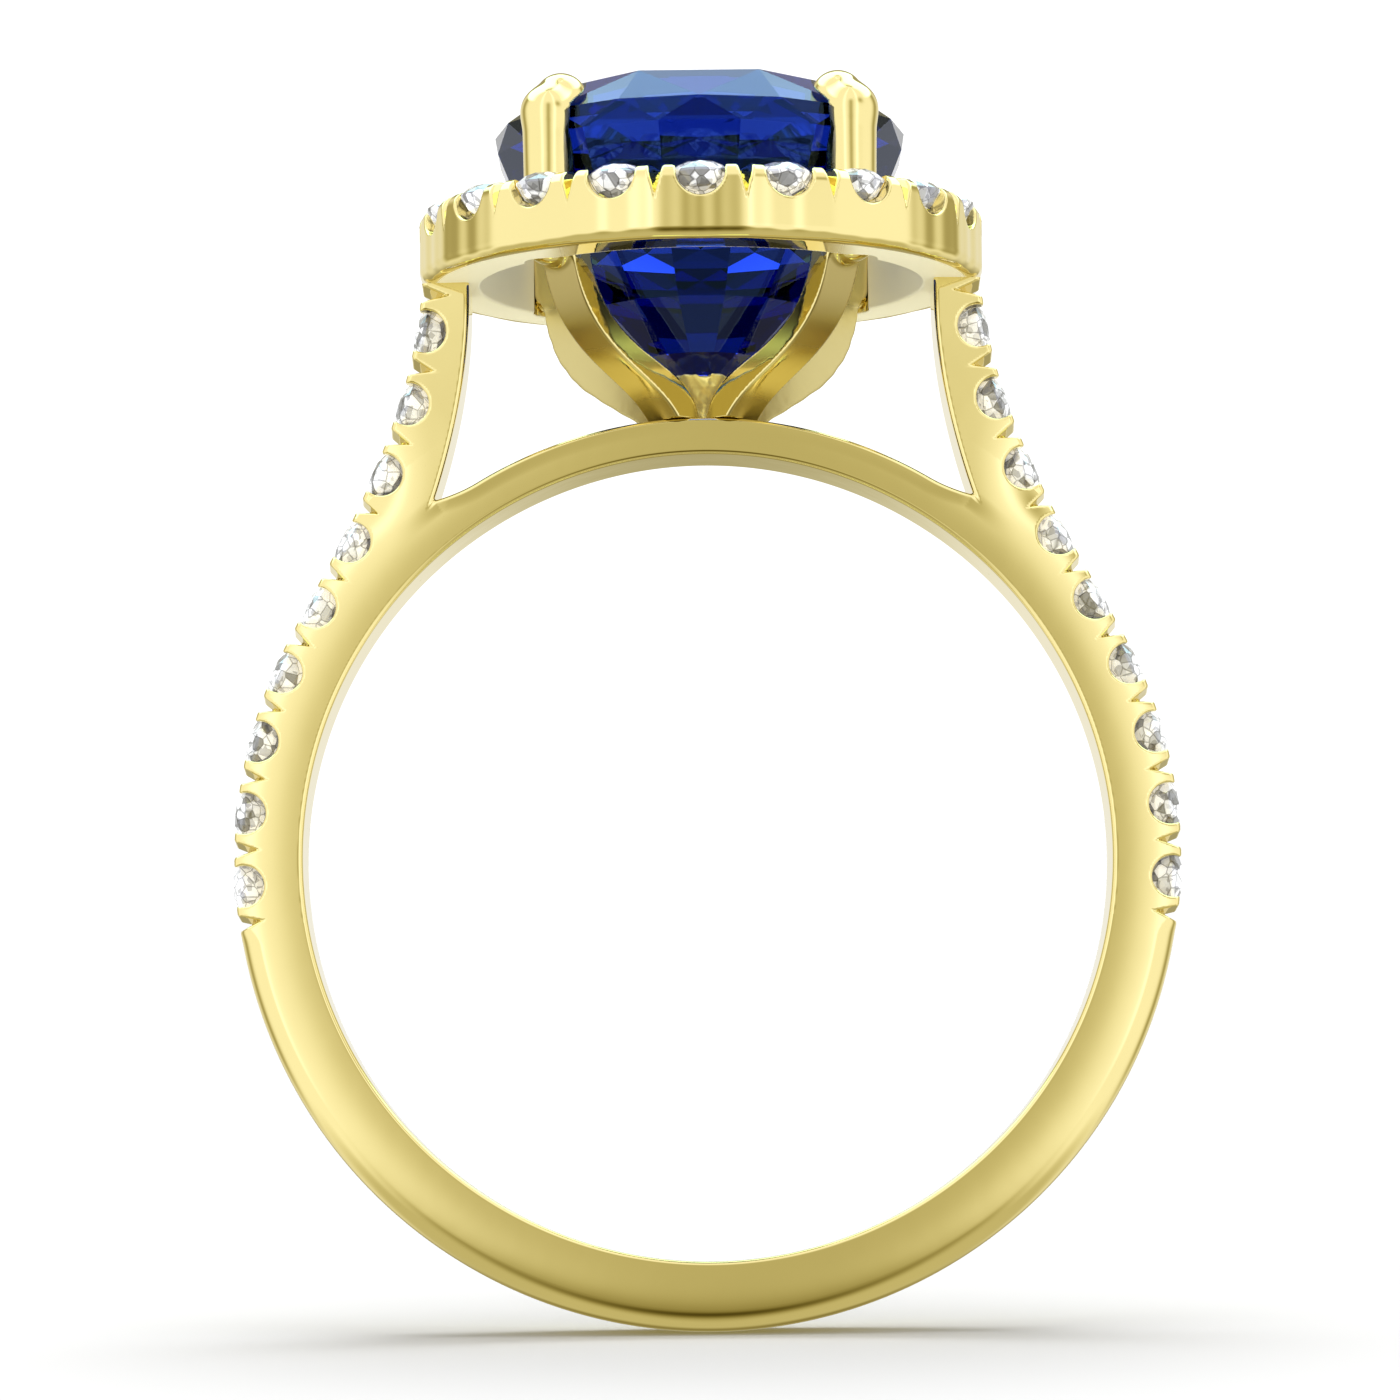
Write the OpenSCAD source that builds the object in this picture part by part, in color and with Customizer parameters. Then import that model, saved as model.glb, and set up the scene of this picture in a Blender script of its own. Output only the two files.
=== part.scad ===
// Halo engagement ring: a round claw-set centre stone above a pave halo, on a cathedral band
// whose shoulders rise to the halo and carry a row of stones each.
// Origin at the centre of the finger bore. The bore runs along Y and the centre stone is on +Z.

/* [Band] */
// Radius of the finger bore
bore_r = 8.45; // [8.3:0.05:8.6]
// Width of the band along the finger
band_w = 1.9; // [1.8:0.05:2.1]
// Radial thickness of the band
band_t = 1.45; // [1.4:0.05:1.55]
// Radius of the plain shank's two outer edges
band_edge_r = 0.45; // [0.2:0.05:0.6]
// Radial thickness of the bridge under the head
bridge_t = 0.77; // [0.7:0.01:0.85]
// Angle below the horizontal where the shoulders meet the plain shank
seam_a = 9; // [8:0.5:10]
// Angle above the horizontal where the shoulder's face leaves the round of the band
rise_a = 28; // [27:0.5:29]
// Angle above the horizontal of the crotch between shoulder and bridge
crotch_a = 53; // [52:0.5:54]
// Chamfer on the edges of the bore
bore_chamfer = 0.1; // [0.05:0.01:0.15]

/* [Halo] */
// Outer radius of the halo
halo_r = 6; // [5.9:0.05:6.1]
// Inner radius of the halo
halo_inner_r = 4.7; // [4.65:0.05:4.75]
// Height of the halo's wall
halo_h = 1.55; // [1.5:0.05:1.65]
// Height of the halo's underside above the bridge
halo_rise = 2.93; // [2.85:0.01:3]
// Radius of the halo's lower outer edge
halo_edge_r = 0.3; // [0.1:0.05:0.4]
// Radius of the halo's upper outer edge
halo_brow_r = 0.4; // [0.2:0.05:0.45]

/* [Small stones] */
// Number of stones in the halo
halo_stones = 20; // [20:4:20]
// Number of stones in each shoulder
shoulder_stones = 9; // [8:1:9]
// Diameter of a small stone
small_d = 1.24; // [1.16:0.02:1.26]
// Depth of a small stone's girdle below the metal's surface
small_sink = 0.16; // [0.14:0.01:0.2]
// Radius of the round cut beside each shoulder stone
shoulder_scallop_r = 0.44; // [0.4:0.01:0.48]
// Radius of the round cut beside each halo stone
halo_scallop_r = 0.5; // [0.45:0.01:0.52]
// Depth of a round cut's centre line below the metal's surface
scallop_sink = 0.18; // [0.14:0.01:0.22]
// Width of the notch that splits the metal between two stones, where it meets the side
notch_w = 0.38; // [0.3:0.02:0.42]
// Depth of the notch at the shoulder's side
shoulder_notch_h = 0.5; // [0.4:0.02:0.56]
// Depth of the notch at the halo's outer wall
halo_notch_h = 0.66; // [0.5:0.02:0.7]
// Distance along the shoulder from its ends to the first and last stone
row_end = 1; // [0.95:0.05:1.1]

/* [Centre stone] */
// Diameter of the centre stone
stone_d = 8.7; // [8.6:0.05:8.8]
// Distance from the table's centre to its corners
table_r = 3.27; // [3.1:0.01:3.4]
// Height of the crown
crown_h = 0.8; // [0.75:0.01:0.85]
// Thickness of the girdle
girdle_h = 0.5; // [0.45:0.01:0.55]
// Depth of the pavilion
pavilion_h = 5; // [4.9:0.05:5.1]
// Height of the culet above the bridge
culet_rise = 0.68; // [0.6:0.01:0.75]

/* [Claws] */
// Radius of a claw's round upper part
claw_r = 0.52; // [0.48:0.01:0.54]
// Width of a claw's flat lower arm
claw_w = 0.94; // [0.8:0.02:0.96]
// Distance from the stone's axis to the middle of a claw's upright
claw_at = 4.43; // [4.4:0.01:4.46]
// Radius of the claw's domed tip
tip_r = 0.5; // [0.46:0.01:0.52]
// Distance that the tip leans in over the crown
tip_lean = 0.4; // [0.3:0.02:0.46]
// How far the arms of the two back claws bow out
claw_bow = 0.4; // [0:0.1:0.7]

/* [Hidden] */
$fn = 96;
hoop_r = bore_r + band_t;
bridge_r = bore_r + bridge_t;
halo_z = bridge_r + halo_rise;
halo_top = halo_z + halo_h;
culet_z = bridge_r + culet_rise;
girdle_z = culet_z + pavilion_h;
crown_z = girdle_z + girdle_h;
table_z = crown_z + crown_h;

// Rings of the centre stone's pavilion, as shares of its depth and of its radius
pavilion_tiers = [[1, 1], [0.62, 0.82], [0.33, 0.57], [0.13, 0.3]];
// Slack between the centre stone and its claws
stone_slack = 0.02;
// Heights of the claw's bend and of its tip above the girdle's lower edge
bend_rise = 0.45;
tip_rise = 0.76;
// Height above the halo's underside where a claw's arm turns into its upright
arm_turn = 0.35;

// Small stones: shares of their diameter, and the slack and depth of the drilled seat
small_table = 0.56;
small_crown = 0.15;
small_girdle = 0.04;
small_pavilion = 0.43;
small_star = 0.78;
small_belly = 0.74;
small_belly_h = 0.24;
seat_slack = 0.02;

// Depth of a notch halfway across the metal, and the length and height of the cutter
notch_mid = 0.24;
notch_reach = 1.6;
notch_clear = 1.2;

// Collar and peg of the head
collar_r = 0.5;
collar_h = 0.64;
peg_r = 0.35;
peg_h = 0.45;

// Height by which the bridge thickens into the crotch, and the angle it takes to do so
crotch_fillet = 0.2;
fillet_a = 6;

// Middle of the ring of halo stones, which sit close to the outer wall
halo_row_r = halo_r - small_d / 2;
halo_pitch_a = 360 / halo_stones;

// Control points of the shoulder's stone-set face and of its inner side, in the plane of the band
rise_start = arc_point(hoop_r, rise_a);
rise_end = [halo_r - 0.1, halo_z];
rise_curve = [rise_start, rise_start + 3 * [-sin(rise_a), cos(rise_a)],
              rise_end + [0.17, -2.75], rise_end];
crotch = arc_point(bridge_r + crotch_fillet, crotch_a);
side_end = [halo_inner_r + 0.2, halo_z];
side_curve = [side_end, side_end + [-0.05, -1.95], crotch + [-0.3, 0.9], crotch];
curve_steps = 20;

face_points = concat(
    [for (i = [0:curve_steps]) arc_point(hoop_r, -seam_a + (rise_a + seam_a) * i / curve_steps)],
    [for (i = [1:curve_steps]) bezier(rise_curve, i / curve_steps)]);
face_lengths = [for (i = [0:len(face_points) - 1]) run_length(face_points, i)];
face_x = [for (i = [0:len(face_points) - 1]) [face_lengths[i], face_points[i][0]]];
face_z = [for (i = [0:len(face_points) - 1]) [face_lengths[i], face_points[i][1]]];
row_pitch = (face_lengths[len(face_points) - 1] - 2 * row_end) / (shoulder_stones - 1);

SIDES = ["left", "right"];
CLAWS = ["claw_back_right", "claw_back_left", "claw_front_left", "claw_front_right"];

function halo_stone_name(i) = str("halo_diamond_", i < 10 ? "0" : "", i);
function shoulder_stone_name(side, i) = str("shoulder_diamond_", side, "_", i);

function arc_point(r, a) = r * [cos(a), sin(a)];
function bezier(p, t) = pow(1 - t, 3) * p[0] + 3 * t * pow(1 - t, 2) * p[1]
    + 3 * t * t * (1 - t) * p[2] + pow(t, 3) * p[3];
function run_length(p, i) = i == 0 ? 0 : run_length(p, i - 1) + norm(p[i] - p[i - 1]);
function ring(n, r, z, phase) = [for (i = [0:n - 1]) [each arc_point(r, phase + 360 * i / n), z]];

// Place and outward direction on a shoulder's face, a distance s along it from the seam
function face_at(s) = [lookup(s, face_x), lookup(s, face_z)];
function face_normal_a(s) =
    let (d = face_at(s + 0.05) - face_at(s - 0.05)) atan2(d[1], d[0]) - 90;
function row_at(i) = row_end + row_pitch * (i - 1);

// Turns a shape drawn in the plane of the band, or revolved about Z, so that its axis is Y
module across_band() rotate([90, 0, 0]) children();

module bore(r) across_band() cylinder(r = r, h = 2 * band_w, center = true);

// The finger bore with its chamfered edges
module finger_bore() {
    w = band_w / 2;
    across_band()
        rotate_extrude()
            polygon([[0, -w - 1], [bore_r + bore_chamfer + 1, -w - 1], [bore_r, -w + bore_chamfer],
                     [bore_r, w - bore_chamfer], [bore_r + bore_chamfer + 1, w + 1], [0, w + 1]]);
}

// Round brilliant with its girdle on the XY plane and its table up
module brilliant(d) {
    r = d / 2;
    table = small_table * r;
    top = d * (small_crown + small_girdle / 2);
    girdle = d * small_girdle / 2;
    star = small_star * r;
    star_z = top + (star * cos(22.5) - table) * (girdle - top) / (r - table);
    points = concat(ring(8, table, top, 0), ring(8, star, star_z, 22.5), ring(16, r, girdle, 0),
                    ring(16, r, -girdle, 0), ring(8, small_belly * r, -d * small_belly_h, 22.5),
                    [[0, 0, -d * (small_pavilion + small_girdle / 2)]]);
    s = 8;
    g = 16;
    b = 32;
    l = 48;
    c = 56;
    eighths = [0:7];
    faces = concat(
        [[7, 6, 5, 4, 3, 2, 1, 0]],
        [for (i = eighths) [i, (i + 1) % 8, s + i]],
        [for (i = eighths) [i, s + i, g + 2 * i, s + (i + 7) % 8]],
        [for (i = eighths) [s + i, g + 2 * i + 1, g + 2 * i]],
        [for (i = eighths) [s + i, g + (2 * i + 2) % 16, g + 2 * i + 1]],
        [for (k = [0:15]) [g + k, g + (k + 1) % 16, b + (k + 1) % 16, b + k]],
        [for (i = eighths) [b + 2 * i, b + 2 * i + 1, l + i]],
        [for (i = eighths) [b + 2 * i + 1, b + (2 * i + 2) % 16, l + i]],
        [for (i = eighths) [b + 2 * i, l + i, l + (i + 7) % 8]],
        [for (i = eighths) [l + i, c, l + (i + 7) % 8]]);
    polyhedron(points, faces);
}

// Blind seat that follows a brilliant's outline, with room above it for the drill
module seat(d) {
    r = d / 2 + seat_slack;
    belly = d * small_belly / 2 + seat_slack;
    bottom = -d * (small_pavilion + small_girdle / 2) - seat_slack;
    rotate_extrude()
        polygon([[0, 1], [r, 1], [r, -d * small_girdle / 2], [belly, -d * small_belly_h - seat_slack],
                 [0, bottom]]);
}

// Round cut that runs along X from a start, with the metal's surface on the XY plane
module scallop(r, start) {
    translate([start, 0, -scallop_sink])
        rotate([0, 90, 0])
            cylinder(r = r, h = notch_reach - start);
}

// V-shaped cut from the middle of the metal out along X, deepest at the side
module notch(half_w, depth) {
    slope = atan2(depth - notch_mid, half_w);
    flank = notch_clear * notch_w / 2 / depth;
    translate([0, 0, -notch_mid])
        rotate([0, slope, 0])
            rotate([90, 0, 90])
                linear_extrude(notch_reach)
                    polygon([[-flank, notch_clear], [flank, notch_clear], [0, 0]]);
}

// Places its children on the right shoulder's face, with the outward direction as their Z
module on_face(s) {
    at = face_at(s);
    translate([at[0], 0, at[1]])
        rotate([0, 90 - face_normal_a(s), 0])
            rotate([0, 0, 90])
                children();
}

// Places its children on the halo's top, with the radial direction as their X
module on_halo(a) rotate([0, 0, a]) translate([halo_row_r, 0, halo_top]) children();

module hoop(a0, a1) across_band() rotate([0, 0, a0]) rotate_extrude(angle = a1 - a0) children();

module shank_profile() {
    w = band_w / 2;
    e = band_edge_r;
    round_edge = [for (i = [0:8]) [hoop_r - e, w - e] + arc_point(e, 90 - 90 * i / 8)];
    polygon(concat(
        [[bore_r, w - bore_chamfer], [bore_r + bore_chamfer, w]],
        round_edge,
        [for (i = [8:-1:0]) [round_edge[i][0], -round_edge[i][1]]],
        [[bore_r + bore_chamfer, -w], [bore_r, -w + bore_chamfer]]));
}

module shank() {
    color("#d9b84a")
        hoop(180 + seam_a, 360 - seam_a)
            shank_profile();
}

module shoulder() {
    inner = bore_r - 1;
    difference() {
        across_band()
            linear_extrude(band_w, center = true)
                polygon(concat(
                    face_points,
                    [for (i = [0:curve_steps]) bezier(side_curve, i / curve_steps)],
                    [arc_point(inner, crotch_a), arc_point(inner, -seam_a)]));
        finger_bore();
        for (i = [1:shoulder_stones]) {
            on_face(row_at(i)) {
                translate([0, 0, -small_sink])
                    seat(small_d);
                scallop(shoulder_scallop_r, -notch_reach);
            }
        }
        for (i = [0:shoulder_stones], side = [0, 1])
            on_face(row_at(i) + row_pitch / 2)
                mirror([side, 0, 0])
                    notch(band_w / 2, shoulder_notch_h);
    }
}

module shoulder_diamond(i) on_face(row_at(i)) translate([0, 0, -small_sink]) brilliant(small_d);

module side(name) mirror([name == "left" ? 1 : 0, 0, 0]) children();

module bridge() {
    inner = bore_r - 1;
    top = [for (i = [0:curve_steps])
        let (t = i / curve_steps)
            arc_point(bridge_r + crotch_fillet * pow(1 - t, 2), crotch_a + fillet_a * t)];
    flip = [for (i = [curve_steps:-1:0]) [-top[i][0], top[i][1]]];
    span_a = crotch_a + fillet_a;
    span = [for (i = [1:2 * curve_steps - 1])
        arc_point(bridge_r, span_a + (180 - 2 * span_a) * i / (2 * curve_steps))];
    color("#d9b84a")
        difference() {
            across_band()
                linear_extrude(band_w, center = true)
                    polygon(concat(top, span, flip,
                                   [arc_point(inner, 180 - crotch_a), arc_point(inner, crotch_a)]));
            finger_bore();
            translate([0, 0, bridge_r - peg_h])
                cylinder(r = peg_r, h = 1);
        }
}

module head_base() {
    color("#d9b84a") {
        difference() {
            translate([0, 0, bridge_r - 0.1])
                cylinder(r = collar_r, h = collar_h + 0.1);
            bore(bridge_r);
        }
        translate([0, 0, bridge_r - peg_h])
            cylinder(r = peg_r, h = peg_h + 0.1);
    }
}

// Room that the centre stone takes up, with a little slack all round
module stone_space() {
    r = stone_d / 2;
    rotate_extrude()
        polygon(concat(
            [[0, culet_z - stone_slack]],
            [for (i = [3:-1:0]) [pavilion_tiers[i][1] * r + stone_slack,
                                 culet_z + pavilion_tiers[i][0] * pavilion_h]],
            [[r + stone_slack, crown_z], [table_r + stone_slack, table_z + stone_slack],
             [0, table_z + stone_slack]]));
}

// One claw on +X: a flat arm from the bridge, a round upright and a tip bent in over the stone
module claw_blank(bow) {
    turn_z = halo_z + arm_turn;
    bend_z = girdle_z + bend_rise;
    tip_z = girdle_z + tip_rise;
    tip_at = claw_at - tip_lean;
    outer = [[1.1, bridge_r - 0.2], [1.7 + bow, bridge_r + 0.95 - bow / 2],
             [3.9 + bow, bridge_r + 0.9], [4.25 + bow * 0.4, turn_z]];
    inner = [[3.7, turn_z], [3.3, bridge_r + 0.75],
             [1.7, bridge_r + 1.5], [0.55, bridge_r - 0.2]];
    across_band()
        linear_extrude(claw_w, center = true)
            polygon(concat(
                [for (i = [0:12]) bezier(outer, i / 12)],
                [[claw_at, turn_z + 0.6], [claw_at - 0.4, turn_z + 0.6]],
                [for (i = [0:12]) bezier(inner, i / 12)]));
    translate([claw_at, 0, turn_z])
        cylinder(r = claw_r, h = bend_z - turn_z);
    translate([claw_at, 0, bend_z])
        sphere(r = claw_r);
    translate([claw_at, 0, bend_z])
        rotate([0, -atan2(tip_lean, tip_rise - bend_rise), 0])
            cylinder(r1 = claw_r, r2 = tip_r, h = norm([tip_lean, tip_rise - bend_rise]));
    translate([tip_at, 0, tip_z])
        sphere(r = tip_r);
}

module claw(a, bow) {
    color("#e0c256")
        difference() {
            rotate([0, 0, a])
                claw_blank(bow);
            stone_space();
            bore(bridge_r);
            translate([0, 0, bridge_r - 1])
                cylinder(r = collar_r, h = 1 + collar_h);
        }
}

module halo() {
    e = halo_edge_r;
    brow = halo_brow_r;
    color("#e0c256")
        difference() {
            rotate_extrude()
                polygon(concat(
                    [for (i = [0:8]) [halo_r - e, halo_z + e] + arc_point(e, -90 + 90 * i / 8)],
                    [for (i = [0:8]) [halo_r - brow, halo_top - brow] + arc_point(brow, 90 * i / 8)],
                    [[halo_inner_r, halo_top], [halo_inner_r, halo_z]]));
            for (i = [0:halo_stones - 1]) {
                on_halo(halo_pitch_a * i) {
                    translate([0, 0, -small_sink])
                        seat(small_d);
                    scallop(halo_scallop_r, 0);
                }
                on_halo(halo_pitch_a * (i + 0.5))
                    notch(halo_r - halo_row_r, halo_notch_h);
            }
            for (i = [0:3])
                rotate([0, 0, 45 + 90 * i])
                    translate([claw_at, 0, halo_z - 1])
                        cylinder(r = claw_r, h = halo_h + 2);
        }
}

module halo_diamond(i) {
    on_halo(-90 + halo_pitch_a * (i - 1))
        translate([0, 0, -small_sink])
            brilliant(small_d);
}

// Mixed cut: a brilliant crown on sixteen girdle corners over a stepped pavilion
module sapphire() {
    r = stone_d / 2;
    tiers = [for (t = pavilion_tiers)
        each ring(16, t[1] * r, culet_z + t[0] * pavilion_h, 11.25)];
    points = concat(ring(8, table_r, table_z, 22.5), ring(16, r, crown_z, 0), tiers,
                    [[0, 0, culet_z]]);
    g = 8;
    b = 24;
    last = b + 16 * (len(pavilion_tiers) - 1);
    culet = len(points) - 1;
    eighths = [0:7];
    corners = [0:15];
    faces = concat(
        [[7, 6, 5, 4, 3, 2, 1, 0]],
        [for (i = eighths) [i, (i + 1) % 8, g + (2 * i + 2) % 16]],
        [for (i = eighths) [i, g + 2 * i + 1, g + 2 * i]],
        [for (i = eighths) [i, g + (2 * i + 2) % 16, g + 2 * i + 1]],
        [for (k = corners) [g + k, g + (k + 1) % 16, b + k]],
        [for (k = corners) [g + (k + 1) % 16, b + (k + 1) % 16, b + k]],
        [for (t = [0:len(pavilion_tiers) - 2], k = corners)
            let (u = b + 16 * t) [u + k, u + (k + 1) % 16, u + 16 + (k + 1) % 16, u + 16 + k]],
        [for (k = corners) [last + k, last + (k + 1) % 16, culet]]);
    color("#1c3f9c")
        polyhedron(points, faces);
}

shank();
for (name = SIDES)
    color("#d9b84a") side(name) shoulder();
bridge();
head_base();
for (i = [0:3])
    claw(45 + 90 * i, i < 2 ? claw_bow : 0);
halo();
sapphire();
for (i = [1:halo_stones])
    color("white") halo_diamond(i);
for (name = SIDES, i = [1:shoulder_stones])
    color("white") side(name) shoulder_diamond(i);
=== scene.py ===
import math
import bmesh
import bpy
import numpy as np
from mathutils import Matrix, Vector


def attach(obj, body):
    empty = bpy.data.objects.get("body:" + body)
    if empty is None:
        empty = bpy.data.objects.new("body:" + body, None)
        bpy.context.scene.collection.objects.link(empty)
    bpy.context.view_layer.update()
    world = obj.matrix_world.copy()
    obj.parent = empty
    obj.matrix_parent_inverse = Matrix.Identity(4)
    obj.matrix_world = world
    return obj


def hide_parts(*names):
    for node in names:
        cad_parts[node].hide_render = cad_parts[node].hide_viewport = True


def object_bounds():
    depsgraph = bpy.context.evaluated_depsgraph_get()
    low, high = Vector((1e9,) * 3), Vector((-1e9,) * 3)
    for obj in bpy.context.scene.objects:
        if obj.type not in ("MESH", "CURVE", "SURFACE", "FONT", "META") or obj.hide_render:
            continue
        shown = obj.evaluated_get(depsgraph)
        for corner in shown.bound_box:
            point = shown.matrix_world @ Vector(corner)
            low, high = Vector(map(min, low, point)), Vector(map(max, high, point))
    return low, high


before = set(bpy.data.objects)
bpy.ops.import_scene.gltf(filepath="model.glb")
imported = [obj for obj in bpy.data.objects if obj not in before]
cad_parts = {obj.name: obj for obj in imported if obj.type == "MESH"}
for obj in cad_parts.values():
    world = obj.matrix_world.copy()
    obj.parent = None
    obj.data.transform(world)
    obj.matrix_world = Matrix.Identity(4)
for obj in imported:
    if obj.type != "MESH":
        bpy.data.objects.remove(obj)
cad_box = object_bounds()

# The ring's ten gold pieces are made here as finer meshes of the CAD model's own pieces, from
# distance fields. The stones keep the CAD model's meshes and get new materials.
# X is to the right in the photo, Y is away from the camera and Z is up, with the bore's axis on Y.

MM = 0.001

# ---------------------------------------------------------------- the ring's dimensions, in mm
BORE_R = 8.45         # the finger bore
HOOP_R = 9.9          # the band's outer face
BRIDGE_R = 9.22       # the bridge's top
HALF_W = 0.95         # half the band's width along the finger
SEAM_A = 9.0          # shank and shoulders meet this many degrees below the middle
RISE_A = 28.0         # the shoulders leave the band's circle here
CROTCH_A = 53.0       # shoulder and bridge part here
FILLET = 0.2
HALO_R = 6.0
HALO_INNER_R = 4.7
HALO_Z = 12.15        # the halo's underside
HALO_TOP = 13.7
HALO_STONES = 20
SMALL_D = 1.24        # a small stone's diameter
ROW_R = HALO_R - SMALL_D / 2
SCALLOP_R = 0.5       # the open scallops beside the halo's stones
WINDOW_R = 0.44       # and those beside the shoulders' stones
SCALLOP_SINK = 0.18
SHOULDER_STONES = 9
ROW_END = 1.0         # from a shoulder's end to the middle of its first stone
STONE_R = 4.35        # the centre stone
CULET_Z = 9.9
CROWN_Z = 15.4
TABLE_Z = 16.2
TABLE_R = 3.27
PAVILION_H = 5.0
PAVILION = [[1, 1], [0.62, 0.82], [0.33, 0.57], [0.13, 0.3]]  # height and radius, as shares
CLAW_R = 0.52         # the hole for a claw's upright in the halo
CLAW_W = 0.94
CLAW_AT = 4.43        # the uprights' distance from the middle
BOW = 0.4             # how far the back claws' arms bow out
COLLAR_R = 0.5
COLLAR_H = 0.64
# a small stone's seat: its radius at each depth
SEAT_DEPTHS = [-0.9, -0.72, -0.47, -0.19, 0.5]
SEAT_RADII = [-0.1, 0.02, 0.48, 0.64, 0.64]
# the solder that fills the gap under the centre stone: its radius at each height
FLARE_TOP = 10.12
FLARE_HEIGHTS = [9.5, 9.6, 9.9, FLARE_TOP]
FLARE_RADII = [0.4, 0.5, 0.84, 1.0]
STEP = 0.04           # the grid on which the fields are sampled
FINE_STEP = 0.03


def rad(a):
    return a * math.pi / 180


# ---------------------------------------------------------------- distance fields
# A field is negative inside its piece. All lengths in fields are in mm.
def join(a, b, k):
    """Union, blended over a width k."""
    h = np.maximum(k - np.abs(a - b), 0) / k
    return np.minimum(a, b) - h * h * k * 0.25


def meet(a, b, k):
    return -join(-a, -b, k)


def cut(a, b, k):
    return meet(a, -b, k)


def edge(a, b, r):
    """Intersection whose edge is an arc of radius r."""
    return np.minimum(np.maximum(a, b), -r) + np.hypot(np.maximum(a + r, 0), np.maximum(b + r, 0))


def smooth(a, b, x):
    """0 below a, 1 above b, and an even step between."""
    t = np.clip((x - a) / (b - a), 0, 1)
    return t * t * (3 - 2 * t)


class Curve:
    """A cubic curve in the plane, run straight on past both ends."""

    def __init__(self, points):
        self.p = np.array(points, dtype=float)
        t = np.linspace(0, 1, 241)
        xy = self.at(t)
        self.t = t
        self.length = np.concatenate([[0], np.cumsum(np.hypot(*np.diff(xy, axis=0).T))])

    def at(self, t):
        p = self.p
        t = np.asarray(t)[..., None]
        u = 1 - t
        return u**3 * p[0] + 3 * u * u * t * p[1] + 3 * u * t * t * p[2] + t**3 * p[3]

    def slope(self, t):
        p = self.p
        t = np.asarray(t)[..., None]
        u = 1 - t
        return 3 * u * u * (p[1] - p[0]) + 6 * u * t * (p[2] - p[1]) + 3 * t * t * (p[3] - p[2])

    def bend(self, t):
        p = self.p
        t = np.asarray(t)[..., None]
        return 6 * (1 - t) * (p[2] - 2 * p[1] + p[0]) + 6 * t * (p[3] - 2 * p[2] + p[1])

    def near(self, x, z):
        """Length along the curve and signed distance from it, positive on its right."""
        shape = x.shape
        q = np.stack([x.ravel(), z.ravel()], -1)
        ts = np.linspace(0, 1, 33)
        pts = self.at(ts)
        d2 = (q[:, 0, None] - pts[None, :, 0]) ** 2 + (q[:, 1, None] - pts[None, :, 1]) ** 2
        t = ts[d2.argmin(1)]
        for _ in range(4):
            d = self.at(t) - q
            s1 = self.slope(t)
            f = (d * s1).sum(-1)
            df = (s1 * s1).sum(-1) + (d * self.bend(t)).sum(-1)
            t = np.clip(t - f / np.where(np.abs(df) < 1e-6, 1e-6, df), 0, 1)
        s1 = self.slope(t)
        s1 /= np.linalg.norm(s1, axis=-1, keepdims=True)
        d = q - self.at(t)
        dist = d[:, 0] * s1[:, 1] - d[:, 1] * s1[:, 0]
        past_end = np.where((t <= 0) | (t >= 1), (d * s1).sum(-1), 0)
        along = np.interp(t, self.t, self.length) + past_end
        return along.reshape(shape), dist.reshape(shape)


def polar(r, a):
    return np.array([r * math.cos(rad(a)), r * math.sin(rad(a))])


# a shoulder's outer side, from the band's circle up to the halo, and its inner side
rise_start = polar(HOOP_R, RISE_A)
rise_end = np.array([HALO_R - 0.1, HALO_Z])
rise_way = np.array([-math.sin(rad(RISE_A)), math.cos(rad(RISE_A))])
rise = Curve([rise_start, rise_start + 3 * rise_way, rise_end + [0.17, -2.75], rise_end])
crotch = polar(BRIDGE_R + FILLET, CROTCH_A)
side_end = np.array([HALO_INNER_R + 0.2, HALO_Z])
side = Curve([side_end, side_end + [-0.05, -1.95], crotch + [-0.3, 0.9], crotch])
ARC_LEN = rad(RISE_A + SEAM_A) * HOOP_R
FACE_LEN = ARC_LEN + rise.length[-1]
PITCH = (FACE_LEN - 2 * ROW_END) / (SHOULDER_STONES - 1)


def face_coords(x, z):
    """Length along the outer face from the seam, and height above it."""
    rho = np.hypot(x, z)
    a = np.arctan2(z, x)
    s = (a + rad(SEAM_A)) * HOOP_R
    n = rho - HOOP_R
    up = a > rad(RISE_A)
    if up.any():
        along, dist = rise.near(x[up], z[up])
        s = s.copy()
        s[up] = ARC_LEN + along
        n[up] = dist
    return s, n


def bridge_top(a):
    return BRIDGE_R + FILLET * (1 - np.clip((a - CROTCH_A) / 6, 0, 1)) ** 2


def plan(x, z):
    """Quantities that depend only on the place in the band's plane, for x > 0."""
    s, n = face_coords(x, z)
    _, inner = side.near(x, z)
    rho = np.hypot(x, z)
    a = np.degrees(np.arctan2(z, x))
    inner = np.where(a < 20, -3.0, inner)  # low down the bore is the only inner side
    arm = edge(n, inner, 0.02)
    ridge = rho - bridge_top(a)
    body = join(arm, ridge, 0.08)
    body = np.where(a < 15, n, body)
    depth = np.clip((rho - BORE_R) / (HOOP_R - BORE_R), -0.2, 1.3)
    thick = np.clip(-inner / np.maximum(-inner - n, 0.3), -0.2, 1.3)
    up = smooth(44, 60, a) * smooth(-0.35, 0.1, ridge)
    t = depth * (1 - up) + thick * up
    return s, n, body, BORE_R - rho, t, up, a


def crown(t, up):
    """How far the band's front face falls back between its inner and its outer edge."""
    return (1 - up) * (0.02 * t + 0.15 * t * t * t) + up * (0.07 * t)


def stone_seat(across, depth):
    """The hole for a small stone. The factor keeps its slope near that of a distance."""
    return (across - np.interp(depth, SEAT_DEPTHS, SEAT_RADII)) * 0.8


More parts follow.
